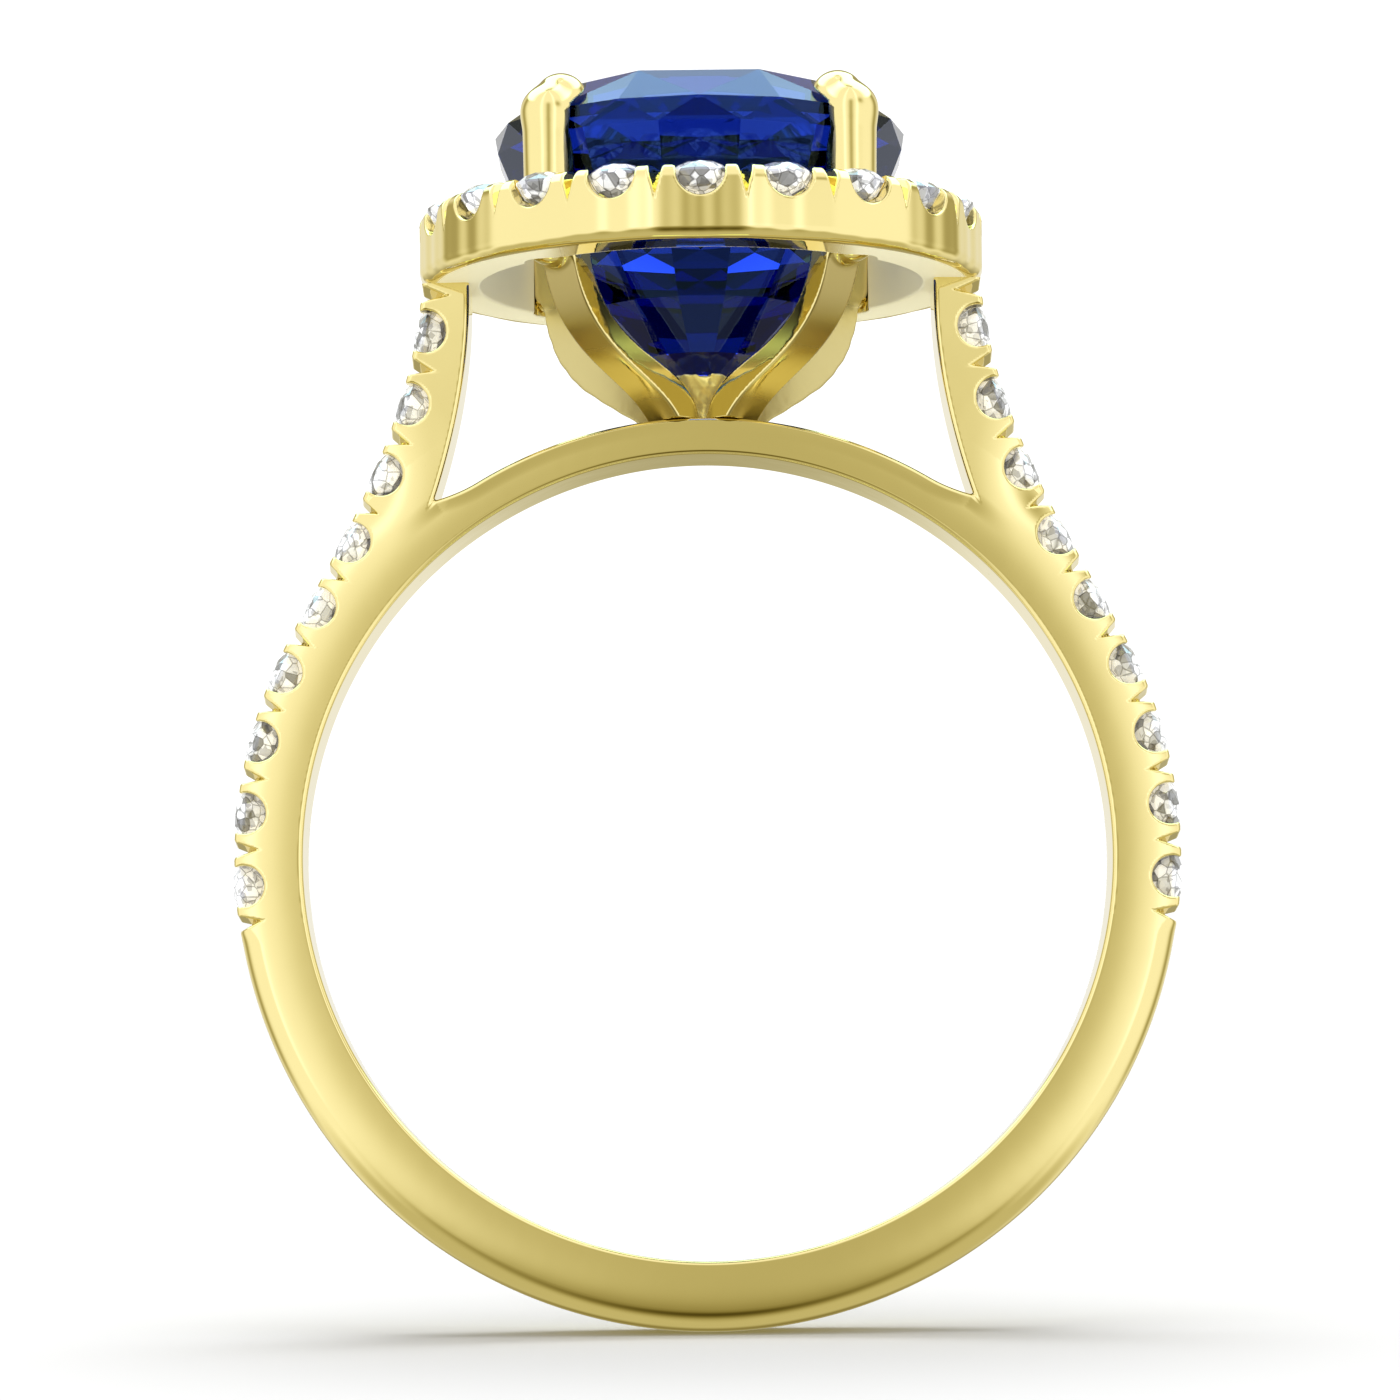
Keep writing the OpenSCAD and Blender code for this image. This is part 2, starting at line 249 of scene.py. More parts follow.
def band_field(pl, x, y, z):
    """Shoulder and shank on one side, from their plan in X and Z."""
    s, n, body, bore, t, up, a = pl
    stones = smooth(-0.3, 0.4, s)
    front = np.abs(y) - (HALF_W - crown(t, up))
    out_r = 0.42 * (1 - stones) + 0.1 * stones  # the plain band's edges are rounder
    out_r = np.where(a > CROTCH_A + 3, np.maximum(0.1, out_r), out_r)
    d = edge(body, front, out_r)
    # bright-cut windows beside the stones, and notches between them
    i = np.clip(np.round((s - ROW_END) / PITCH), 0, SHOULDER_STONES - 1)
    u = s - (ROW_END + PITCH * i)
    d = cut(d, np.hypot(u, n + SCALLOP_SINK) - WINDOW_R, 0.06)
    d = cut(d, stone_seat(np.hypot(u, y), n), 0.03)
    j = np.clip(np.round((s - ROW_END) / PITCH - 0.5), -1, SHOULDER_STONES - 1)
    v = s - (ROW_END + PITCH * (j + 0.5))
    reach = 0.24 + 0.28 * np.abs(y) / HALF_W
    d = cut(d, (np.abs(v) / 0.38 - (n + reach)) * 0.355, 0.05)
    return edge(d, bore, 0.1)


def ring_field(x, y, z):
    x = np.abs(x)
    return band_field(plan(x, z), x, y, z)


def halo_field(x, y, z):
    """The halo, with a slight wave in its wall behind each stone."""
    r = np.hypot(x, y)
    a = np.degrees(np.arctan2(y, x)) + 90
    step = 360.0 / HALO_STONES
    phi = (a + step / 2) % step - step / 2
    psi = a % step - step / 2
    u = r * np.radians(phi)
    v = r * np.radians(psi)
    w = z - HALO_TOP
    aa = np.radians(a)
    wave = 0.022 * np.cos(aa * HALO_STONES + np.pi) + 0.0045 * np.cos(aa * (3 * HALO_STONES) + np.pi)
    wall = r - (HALO_R - 0.03 + wave + 0.004 * np.sin(aa * 13 + 0.6) + 0.003 * np.sin(aa * 7 + 2))
    d = edge(wall, HALO_Z - z, 0.26)
    d = edge(d, w, 0.35)
    d = edge(d, HALO_INNER_R - r, 0.06)
    d = cut(d, edge(np.hypot(u, w + SCALLOP_SINK) - SCALLOP_R, ROW_R - r, 0.05), 0.06)
    d = cut(d, stone_seat(np.hypot(u, r * np.cos(np.radians(phi)) - ROW_R), w), 0.03)
    reach = 0.24 + 0.68 * (r - ROW_R)
    d = cut(d, (np.abs(v) / 0.29 - (w + reach)) * 0.28, 0.05)
    fx, fy = np.abs(x), np.abs(y)
    post = np.hypot(fx - CLAW_AT * math.sqrt(0.5), fy - CLAW_AT * math.sqrt(0.5)) - CLAW_R
    return np.maximum(d, -post)


def arm_curves(bow):
    """Outer and inner side of a claw's arm, which bows out on the back claws."""
    foot, top = BRIDGE_R - 0.2, 12.5
    outer = Curve([[1.1, foot], [1.7 + bow, BRIDGE_R + 0.95 - bow / 2],
                   [3.9 + bow, BRIDGE_R + 0.9], [4.25 + bow * 0.4, top]])
    inner = Curve([[3.7, top], [3.3, BRIDGE_R + 0.75], [0.6, BRIDGE_R + 1.5], [0.52, foot]])
    return outer, inner


def stone_space(r, z):
    """The centre stone with a little slack, as a turned body."""
    slack = 0.02
    pts = [[0, CULET_Z - slack]]
    pts += [[t[1] * STONE_R + slack, CULET_Z + t[0] * PAVILION_H] for t in PAVILION[::-1]]
    pts += [[STONE_R + slack, CROWN_Z], [TABLE_R + slack, TABLE_Z + slack]]
    d = z - (TABLE_Z + slack)
    for p, q in zip(pts[:-1], pts[1:]):
        e = np.array(q) - np.array(p)
        e = e / np.linalg.norm(e)
        d = np.maximum(d, (r - p[0]) * e[1] - (z - p[1]) * e[0])
    return d


def capsule(x, y, z, p, q, r0, r1):
    """A rod with round ends from p to q, of radius r0 at p and r1 at q."""
    p, q = np.array(p), np.array(q)
    e = q - p
    dx, dy, dz = x - p[0], y - p[1], z - p[2]
    h = np.clip((dx * e[0] + dy * e[1] + dz * e[2]) / (e @ e), 0, 1)
    away = np.sqrt((dx - h * e[0]) ** 2 + (dy - h * e[1]) ** 2 + (dz - h * e[2]) ** 2)
    return away - (r0 + (r1 - r0) * h)


class Claw:
    """One claw, with the direction away from the stone along X, as it is before its turn."""

    def __init__(self, bow, ribs):
        self.outer, self.inner = arm_curves(bow)
        self.ribs = ribs

    def plan(self, x, z):
        return self.outer.near(x, z)[1], self.inner.near(x, z)[1]

    def body(self, pl, x, y, z):
        out, inn = pl
        out = out + self.ribs * 0.012 * np.sin(14 * z + 3 * y) * np.sin(5 * z + 1)
        arm = edge(out, inn, 0.1)
        arm = np.maximum(arm, z - 13.1)  # the arm ends inside the halo, and the upright goes on
        arm = edge(arm, np.abs(y) - CLAW_W / 2, 0.05)
        turn_z = 15.3
        post = capsule(x, y, z, [CLAW_AT, 0, 12.6], [CLAW_AT, 0, turn_z], 0.5, 0.55)
        tip = capsule(x, y, z, [CLAW_AT, 0, turn_z], [CLAW_AT - 0.36, 0, 15.62], 0.55, 0.56)
        post = join(post, tip, 0.15)
        d = join(arm, post, 0.25)
        d = cut(d, stone_space(np.hypot(x, y), z), 0.05)
        xw = (x - y) * math.sqrt(0.5)
        d = np.maximum(d, BRIDGE_R - np.hypot(xw, z))
        collar = np.maximum(np.hypot(x, y) - COLLAR_R, z - (BRIDGE_R + COLLAR_H))
        return np.maximum(d, -collar)

    def field(self, x, y, z):
        return self.body(self.plan(x, z), x, y, z)


def bridge_field(x, y, z):
    x = np.abs(x)
    rho = np.hypot(x, z)
    a = np.degrees(np.arctan2(z, x))
    _, _, _, bore, t, up, _ = plan(x, z)
    front = np.abs(y) - (HALF_W - crown(t, up))
    return edge(edge(rho - bridge_top(a), front, 0.1), bore, 0.1)


def solder_field(x, y, z):
    """The collar and its peg, and the uneven solder between the claws under the culet."""
    r = np.hypot(x, y)
    lump = 0.025 * np.sin(19 * x + 1) * np.sin(17 * y) + 0.025 * np.sin(21 * z + 9 * x + 4 * y)
    d = edge(r - COLLAR_R + 0.03 + lump, z - BRIDGE_R - COLLAR_H + 0.03 + lump, 0.1)
    flare = r - np.interp(z, FLARE_HEIGHTS, FLARE_RADII) + lump
    flare = np.maximum(edge(flare, z - FLARE_TOP + lump, 0.06), 0.04 - stone_space(r, z))
    d = np.minimum(d, flare)
    d = np.maximum(d, BRIDGE_R - np.hypot(x, z))
    peg = np.maximum(r - 0.35, np.maximum(BRIDGE_R - 0.45 - z, z - BRIDGE_R - 0.1))
    return np.minimum(d, peg)


# ---------------------------------------------------------------- meshes from distance fields
def gradient(field, p, h=0.004):
    """The field's slope at points, from the difference over twice h."""
    g = np.empty_like(p)
    for k in range(3):
        a = p.copy()
        b = p.copy()
        a[:, k] += h
        b[:, k] -= h
        g[:, k] = (field(*a.T) - field(*b.T)) / (2 * h)
    return g


def unit(v):
    return v / np.maximum(np.linalg.norm(v, axis=-1, keepdims=True), 1e-9)


def settle(field, p, rounds=2, reach=0.02):
    """Moves points onto the surface, by no more than the reach times the slope in each round."""
    for _ in range(rounds):
        g = gradient(field, p)
        g2 = np.maximum((g * g).sum(-1), 0.05)
        p = p - g * np.clip(field(*p.T) / g2, -reach, reach)[:, None]
    return p


def net(values, lo, step):
    """Surface net: a point in every cell that the surface crosses, and quads between cells."""
    inside = values < 0
    nx, ny, nz = values.shape
    corners = [(i, j, k) for i in (0, 1) for j in (0, 1) for k in (0, 1)]
    count = np.zeros((nx - 1, ny - 1, nz - 1), dtype=np.int8)
    for i, j, k in corners:
        count += inside[i:nx - 1 + i, j:ny - 1 + j, k:nz - 1 + k]
    cells = np.argwhere((count > 0) & (count < 8))
    index = np.full(count.shape, -1, dtype=np.int64)
    index[tuple(cells.T)] = np.arange(len(cells))
    total = np.zeros((len(cells), 3))
    hits = np.zeros(len(cells))
    for c in corners:
        for axis in range(3):
            if c[axis]:
                continue
            e = list(c)
            e[axis] = 1
            a = values[tuple((cells + c).T)]
            b = values[tuple((cells + e).T)]
            cross = (a < 0) != (b < 0)
            t = np.where(cross, a / np.where(cross, a - b, 1), 0)
            p = np.array(c, dtype=float) + np.zeros((len(cells), 3))
            p[:, axis] = t
            total += p * cross[:, None]
            hits += cross
    points = lo + (cells + total / hits[:, None]) * step
    quads = []
    for axis in range(3):
        o1, o2 = [(1, 2), (2, 0), (0, 1)][axis]
        a = [slice(None)] * 3
        b = [slice(None)] * 3
        a[axis] = slice(0, -1)
        b[axis] = slice(1, None)
        change = inside[tuple(a)] != inside[tuple(b)]
        at = np.argwhere(change)
        at = at[(at[:, o1] > 0) & (at[:, o2] > 0) & (at[:, o1] < values.shape[o1] - 1)
                & (at[:, o2] < values.shape[o2] - 1)]
        d1 = np.zeros(3, dtype=int)
        d2 = np.zeros(3, dtype=int)
        d1[o1] = 1
        d2[o2] = 1
        q = np.stack([index[tuple((at - m).T)] for m in (d1 * 0, d1, d1 + d2, d2)], -1)
        flip = inside[tuple(at.T)]
        q[flip] = q[flip][:, ::-1]
        quads.append(q[:, ::-1])
    return points, np.concatenate(quads)


def grid(lo, hi, step):
    """The places of grid lines along each axis."""
    lo, hi = np.array(lo, dtype=float), np.array(hi, dtype=float)
    n = np.ceil((hi - lo) / step).astype(int) + 1
    return lo, [lo[k] + step * np.arange(n[k]) for k in range(3)]


def sample(body, lo, hi, step, plan_of=None):
    """The field on a grid. A plan in X and Z is worked out once and then spread along Y."""
    lo, axes = grid(lo, hi, step)
    x, y, z = np.meshgrid(*axes, indexing="ij")
    if plan_of is None:
        return body(x, y, z).astype(np.float32), lo
    x2, z2 = np.meshgrid(axes[0], axes[2], indexing="ij")
    spread = [v[:, None, :] + np.zeros((1, len(axes[1]), 1)) for v in plan_of(x2, z2)]
    return body(spread, x, y, z).astype(np.float32), lo


def base_mesh(points, faces, planes=()):
    """A closed mesh in mm, cut flat by planes.

    A plane is a point, the normal of the side it takes away, and a test of a vertex or None.
    """
    bm = bmesh.new()
    verts = [bm.verts.new(p) for p in points]
    for f in faces:
        bm.faces.new([verts[i] for i in f])
    for co, no, test in planes:
        vs = [v for v in bm.verts if test is None or test(v.co)]
        chosen = set(vs)
        es = [e for e in bm.edges if all(v in chosen for v in e.verts)]
        fs = [f for f in bm.faces if all(v in chosen for v in f.verts)]
        res = bmesh.ops.bisect_plane(bm, geom=vs + es + fs, dist=1e-5, plane_co=co, plane_no=no,
                                     clear_outer=True)
        rim = [e for e in res["geom_cut"]
               if isinstance(e, bmesh.types.BMEdge) and len(e.link_faces) == 1]
        bmesh.ops.holes_fill(bm, edges=rim, sides=0)
    bmesh.ops.triangulate(bm, faces=[f for f in bm.faces if len(f.verts) > 4])
    bmesh.ops.recalc_face_normals(bm, faces=bm.faces[:])
    mesh = bpy.data.meshes.new("base")
    bm.to_mesh(mesh)
    bm.free()
    return mesh


def pull(collection, name, width, kind=float):
    """One property of all of a mesh's elements, as an array."""
    out = np.empty(len(collection) * width, dtype=np.float32 if kind is float else np.int32)
    collection.foreach_get(name, out)
    return out.reshape(-1, width) if width > 1 else out


def place(base, name, field, matrix=np.eye(3), planes=()):
    """An object in metres from a mesh in mm, with the field's own normals on its curved faces."""
    mesh = base.copy()
    mesh.name = name
    co = pull(mesh.vertices, "co", 3).astype(float)
    g = unit(gradient(field, co))
    centre = pull(mesh.polygons, "center", 3)
    fn = pull(mesh.polygons, "normal", 3)
    flat = np.zeros(len(centre), dtype=bool)
    for p, no, _ in planes:
        no = np.array(no) / np.linalg.norm(no)
        flat |= (np.abs((centre - np.array(p)) @ no) < 2e-4) & (fn @ no > 0.98)
    four = np.eye(4)
    four[:3, :3] = matrix
    mesh.transform(Matrix(four.tolist()))
    if np.linalg.det(matrix) < 0:
        mesh.flip_normals()
    g = g @ np.array(matrix).T
    fn = fn @ np.array(matrix).T
    loops = pull(mesh.loops, "vertex_index", 1, int)
    face_of = np.repeat(np.arange(len(flat)), pull(mesh.polygons, "loop_total", 1, int))
    normals = g[loops]
    own = fn[face_of]
    use_face = flat[face_of] | ((normals * own).sum(-1) < 0.3)
    normals[use_face] = own[use_face]
    mesh.transform(Matrix.Scale(MM, 4))
    mesh.polygons.foreach_set("use_smooth", np.ones(len(flat), dtype=bool))
    mesh.normals_split_custom_set(normals.tolist())
    obj = bpy.data.objects.new(name, mesh)
    bpy.context.scene.collection.objects.link(obj)
    return obj


def net_mesh(field, sampled, step, planes=()):
    values, lo = sampled
    points, quads = net(values, lo, step)
    return base_mesh(settle(field, points).tolist(), quads.tolist(), planes)


def sweep_mesh(field, angles, section_at):
    """A closed bar swept round the bore's axis, with each section settled onto the field."""
    points = []
    for a in angles:
        c, s = math.cos(rad(a)), math.sin(rad(a))
        section = section_at(a)
        points += [(p[0] * c, p[1], p[0] * s) for p in section]
    m = len(section)
    points = np.array(points)
    tangent = np.stack([-points[:, 2], 0 * points[:, 0], points[:, 0]], -1)
    tangent /= np.linalg.norm(tangent, axis=-1, keepdims=True)
    for _ in range(5):
        g = gradient(field, points)
        g -= tangent * (g * tangent).sum(-1, keepdims=True)
        g2 = np.maximum((g * g).sum(-1), 0.1)
        points = points - g * np.clip(field(*points.T) / g2, -0.05, 0.05)[:, None]
    faces = [[i * m + j, i * m + (j + 1) % m, (i + 1) * m + (j + 1) % m, (i + 1) * m + j]
             for i in range(len(angles) - 1) for j in range(m)]
    faces.append(list(range(m)))
    faces.append([(len(angles) - 1) * m + j for j in range(m)])
    return base_mesh(points.tolist(), faces)


def section(r0, r1, half, c, e):
    """Points round a bar's section from r0 to r1, with inner corners of radius c and outer of e."""
    quarter = [(r0 + c - c * math.cos(rad(t)), half - c + c * math.sin(rad(t)))
               for t in range(0, 91, 10)]
    quarter += [(r0 + c + (r1 - e - r0 - c) * k / 18, half) for k in range(1, 18)]
    quarter += [(r1 - e + e * math.sin(rad(t)), half - e + e * math.cos(rad(t)))
                for t in range(0, 91, 6)]
    outer = [(r1, (half - e) * (1 - k / 7)) for k in range(1, 14)]
    inner = [(r0, -(half - c) * (1 - k / 9)) for k in range(1, 18)]
    return quarter + outer + [(p[0], -p[1]) for p in quarter[::-1]] + inner


# ---------------------------------------------------------------- the gold pieces
def joint_plane(a, sign, test=None):
    """A cut through the bore's axis at an angle, which takes away the side that sign points to."""
    return (0, 0, 0), (-math.sin(rad(a)) * sign, 0, math.cos(rad(a)) * sign), test


def crotch_joint():
    """The angle just past the crotch, where shoulder and bridge have parted.

    It comes with the radius midway between the two.
    """
    fine, wide_enough = 0.005, 0.14
    for a in np.arange(CROTCH_A, CROTCH_A + 4, 0.05):
        rho = np.arange(9.2, 9.9, fine)
        body = plan(rho * math.cos(rad(a)), rho * math.sin(rad(a)))[2]
        gap = rho[body > 0]
        gap = gap[gap < 9.85]
        if len(gap) * fine > wide_enough:
            return a, gap.mean()
    raise RuntimeError("arm and bridge never part")


gold_pieces = {}
joint_a, joint_r = crotch_joint()


def below_arm(co):
    """True for a vertex of the bridge, past the crotch."""
    rho = math.hypot(co[0], co[2])
    return rho < joint_r and math.degrees(math.atan2(co[2], co[0])) > joint_a - 3


shoulder_planes = [joint_plane(-SEAM_A, -1), ((0, 0, HALO_Z), (0, 0, 1), None),
                   joint_plane(joint_a, 1, below_arm)]
shoulder = net_mesh(ring_field,
                    sample(band_field, (3.6, -1.05, -2.1), (10.1, 1.05, 12.4), STEP, plan),
                    STEP, shoulder_planes)
for name, sx in (("shoulder_right", 1), ("shoulder_left", -1)):
    gold_pieces[name] = place(shoulder, "gold_" + name, ring_field, np.diag([sx, 1, 1]),
                              shoulder_planes)

end_planes = [joint_plane(180 + SEAM_A, -1), joint_plane(-SEAM_A, 1)]
shank = sweep_mesh(ring_field, np.linspace(180 + SEAM_A, 360 - SEAM_A, 281),
                   lambda a: section(BORE_R, HOOP_R, HALF_W - 0.04, 0.1, 0.4))
gold_pieces["shank"] = place(shank, "gold_shank", ring_field, planes=end_planes)

bridge_planes = [joint_plane(joint_a, -1), joint_plane(180 - joint_a, 1)]
bridge = sweep_mesh(bridge_field, np.linspace(joint_a, 180 - joint_a, 161),
                    lambda a: section(BORE_R, float(bridge_top(min(a, 180 - a))),
                                      HALF_W - 0.02, 0.1, 0.1))
gold_pieces["bridge"] = place(bridge, "gold_bridge", bridge_field, planes=bridge_planes)

halo = net_mesh(halo_field, sample(halo_field, (-6.1, -6.1, 12.05), (6.1, 6.1, 13.82), STEP), STEP)
gold_pieces["halo"] = place(halo, "gold_halo", halo_field)

claw_lo, claw_hi = (0.3, -0.62, 8.8), (5.1, 0.62, 16.36)
claws = []
for bow, ribs in ((BOW, 1), (0, 0)):
    c = Claw(bow, ribs)
    claws.append((c, net_mesh(c.field, sample(c.body, claw_lo, claw_hi, STEP, c.plan), STEP)))
c45 = math.sqrt(0.5)
turn = np.array([[c45, -c45, 0], [c45, c45, 0], [0, 0, 1]])
for name, sx, sy in (("claw_back_right", 1, 1), ("claw_back_left", -1, 1),
                     ("claw_front_left", -1, -1), ("claw_front_right", 1, -1)):
    c, mesh = claws[0 if sy > 0 else 1]
    gold_pieces[name] = place(mesh, "gold_" + name, c.field, np.diag([sx, sy, 1]) @ turn)

solder = net_mesh(solder_field,
                  sample(solder_field, (-1.15, -1.15, 8.6), (1.15, 1.15, 10.3), FINE_STEP),
                  FINE_STEP)
gold_pieces["head_base"] = place(solder, "gold_head_base", solder_field)


# ---------------------------------------------------------------- materials
GOLD = (0.85, 0.72, 0.295)
SATIN_AND_GLOW = (0.93, 0.88, 0.62)
CAST_GOLD = (0.98, 0.84, 0.26)
PAINTED_SHADE_GOLD = (0.46, 0.365, 0.125)
SAPPHIRE_TINT = (0.7, 0.78, 0.9)
SAPPHIRE_DEPTH = (0.36, 0.54, 0.87)  # what is left of white light after its path in the stone
SAPPHIRE_DENSITY = 1000
SAPPHIRE_IOR = 1.77
GEM_GLOSS = (0.12, 0.3, 1, 1)
POLISH = 0.04         # roughness of polished gold
POLISH_BUMP = 0.12
# noise scales, in cells per metre
TONE_SCALE = 260
WEAR_SCALE = 900
POLISH_GRAIN = 700
ARM_GRAIN = 1800
CAST_GRAIN = 2500
GEM_TONE_SCALE = 300
FACET_SCALE = 4000
FINE_FACET_SCALE = 8000


def mixed(tree, factor, a, b, kind="RGBA", how="MIX"):
    """A mix node's output. Factor, a and b are values or sockets."""
    node = tree.nodes.new("ShaderNodeMix")
    node.data_type = kind
    node.blend_type = how
    first, second, result = (6, 7, 2) if kind == "RGBA" else (2, 3, 0)
    for i, v in ((0, factor), (first, a), (second, b)):
        if isinstance(v, bpy.types.NodeSocket):
            tree.links.new(v, node.inputs[i])
        else:
            node.inputs[i].default_value = v
    return node.outputs[result]


def split_xyz(tree, kind, socket):
    """The three parts of a vector from a new node of a kind."""
    node = tree.nodes.new(kind)
    split = tree.nodes.new("ShaderNodeSeparateXYZ")
    tree.links.new(node.outputs[socket], split.inputs[0])
    return split.outputs


def noise(tree, scale, detail=2):
    """Noise laid over a piece's own coordinates."""
    coord = tree.nodes.new("ShaderNodeTexCoord")
    node = tree.nodes.new("ShaderNodeTexNoise")
    node.inputs["Scale"].default_value = scale
    node.inputs["Detail"].default_value = detail
    tree.links.new(coord.outputs["Object"], node.inputs["Vector"])
    return node.outputs["Fac"]


def two_tones(tree, fac, low, high, start=0.0, end=1.0):
    """A colour ramp from one colour to another."""
    ramp = tree.nodes.new("ShaderNodeValToRGB")
    for stop, at, colour in zip(ramp.color_ramp.elements, (start, end), (low, high)):
        stop.position = at
        stop.color = (*colour, 1)
    tree.links.new(fac, ramp.inputs["Fac"])
    return ramp.outputs["Color"]


class Maths:
    """Small sums in a node tree."""

    def __init__(self, tree):
        self.nodes, self.links = tree.nodes, tree.links

    def put(self, v, socket):
        if isinstance(v, (int, float)):
            socket.default_value = v
        else:
            self.links.new(v, socket)

    def do(self, op, a, b=None):
        node = self.nodes.new("ShaderNodeMath")
        node.operation = op
        self.put(a, node.inputs[0])
        if b is not None:
            self.put(b, node.inputs[1])
        return node.outputs[0]

    def add(self, a, b):
        return self.do("ADD", a, b)

    def sub(self, a, b):
        return self.do("SUBTRACT", a, b)

    def mul(self, a, b):
        return self.do("MULTIPLY", a, b)

    def size(self, a):
        return self.do("ABSOLUTE", a)

    def less(self, a, share, mask):
        """A value that loses a share of itself where the mask is 1."""
        return self.mul(a, self.sub(1, self.mul(mask, share)))

    def radius(self, x, y):
        return self.do("SQRT", self.add(self.mul(x, x), self.mul(y, y)))

    def smooth(self, lo, hi, x):
        """0 at lo, 1 at hi, and an even step between."""
        node = self.nodes.new("ShaderNodeMapRange")
        node.interpolation_type = "SMOOTHSTEP"
        self.put(lo, node.inputs["From Min"])
        self.put(hi, node.inputs["From Max"])
        self.links.new(x, node.inputs["Value"])
        return node.outputs["Result"]

    def between(self, lo, hi, x):
        """1 between two soft steps. Each is a pair: where it is 0 and where it is 1."""
        return self.mul(self.smooth(*lo, x), self.smooth(*hi, x))

    def spot(self, x, x0, wx, y=None, y0=0, wy=1):
        """A soft spot that falls off round x0, y0 over the widths wx and wy."""
        d = self.do("POWER", self.size(self.mul(self.sub(x, x0), 1 / wx)), 2)
        if y is not None:
            d = self.add(d, self.do("POWER", self.size(self.mul(self.sub(y, y0), 1 / wy)), 2))
        return self.do("EXPONENT", self.mul(d, -1))


def scaled(colour, k):
    return [c * k for c in colour]


def new_material(name):
    mat = bpy.data.materials.new(name)
    mat.use_nodes = True
    tree = mat.node_tree
    return mat, tree, tree.nodes["Principled BSDF"]


def gold_material(name, rough, bump, grain_scale, colour=GOLD):
    """Gold with faint changes of tone, an uneven polish and a fine grain."""
    mat, tree, shader = new_material(name)
    tone = two_tones(tree, noise(tree, TONE_SCALE, 3), scaled(colour, 0.98), scaled(colour, 1.01),
                     0.35, 0.65)
    tree.links.new(tone, shader.inputs["Base Color"])
    spread = tree.nodes.new("ShaderNodeMapRange")
    spread.inputs["From Min"].default_value = 0.3
    spread.inputs["From Max"].default_value = 0.7
    spread.inputs["To Min"].default_value = rough * 0.75
    spread.inputs["To Max"].default_value = rough * 1.3
    tree.links.new(noise(tree, WEAR_SCALE, 4), spread.inputs["Value"])
    tree.links.new(spread.outputs["Result"], shader.inputs["Roughness"])
    relief = tree.nodes.new("ShaderNodeBump")
    relief.inputs["Strength"].default_value = bump
    relief.inputs["Distance"].default_value = 0.00003
    tree.links.new(noise(tree, grain_scale), relief.inputs["Height"])
    tree.links.new(relief.outputs["Normal"], shader.inputs["Normal"])
    shader.inputs["Metallic"].default_value = 1
    return mat


def finish_and_shade_over(mat, mask, colour, rough, metal=1):
    """Gives the part of a gold material under a mask another colour and finish. On the claws' arms
    that colour is painted shade.
    """
    tree = mat.node_tree
    shader = tree.nodes["Principled BSDF"]
    for key, value in (("Base Color", (*colour, 1)), ("Roughness", rough), ("Metallic", metal)):
        socket = shader.inputs[key]
        before = socket.links[0].from_socket if socket.links else socket.default_value
        kind = "RGBA" if key == "Base Color" else "FLOAT"
        tree.links.new(mixed(tree, mask, before, value, kind), socket)


def cast_material():
    """The solder's rougher, yellower gold. Its glow stands in for light between the claws."""
    mat = gold_material("gold_cast", 0.42, 0.5, CAST_GRAIN, CAST_GOLD)
    shader = mat.node_tree.nodes["Principled BSDF"]
    shader.inputs["Metallic"].default_value = 0.8
    shader.inputs["Emission Color"].default_value = (*GOLD, 1)
    shader.inputs["Emission Strength"].default_value = 0.16
    return mat


def halo_material():
    """Polished gold outside, and a paler satin finish on the inner wall and the underside. These
    also glow faintly in the satin colour: painted light that lifts their shade.
    """
    mat = gold_material("gold_halo", POLISH, POLISH_BUMP, POLISH_GRAIN)
    tree = mat.node_tree
    m = Maths(tree)
    x, y, z = split_xyz(tree, "ShaderNodeTexCoord", "Object")
    r = m.radius(x, y)
    inner = m.smooth((HALO_INNER_R + 0.12) * MM, (HALO_INNER_R + 0.04) * MM, r)
    under = m.mul(m.smooth((HALO_Z + 0.04) * MM, (HALO_Z + 0.01) * MM, z),
                  m.smooth((HALO_R - 0.3) * MM, (HALO_R - 0.4) * MM, r))
    # the underside stays polished at the front middle
    behind = m.do("MAXIMUM", m.smooth(-0.5 * MM, 0.5 * MM, y),
                  m.smooth(2.2 * MM, 3.4 * MM, m.size(x)))
    satin = m.do("MAXIMUM", inner, m.mul(under, behind))
    finish_and_shade_over(mat, satin, SATIN_AND_GLOW, 0.42, 0.2)
    shader = tree.nodes["Principled BSDF"]
    # a faint glow in the satin colour on the inner wall and the underside: painted light, not a lamp
    shader.inputs["Emission Strength"].default_value = 0.22
    tree.links.new(mixed(tree, satin, (0, 0, 0, 1), (*SATIN_AND_GLOW, 1)), shader.inputs["Emission Color"])
    return mat


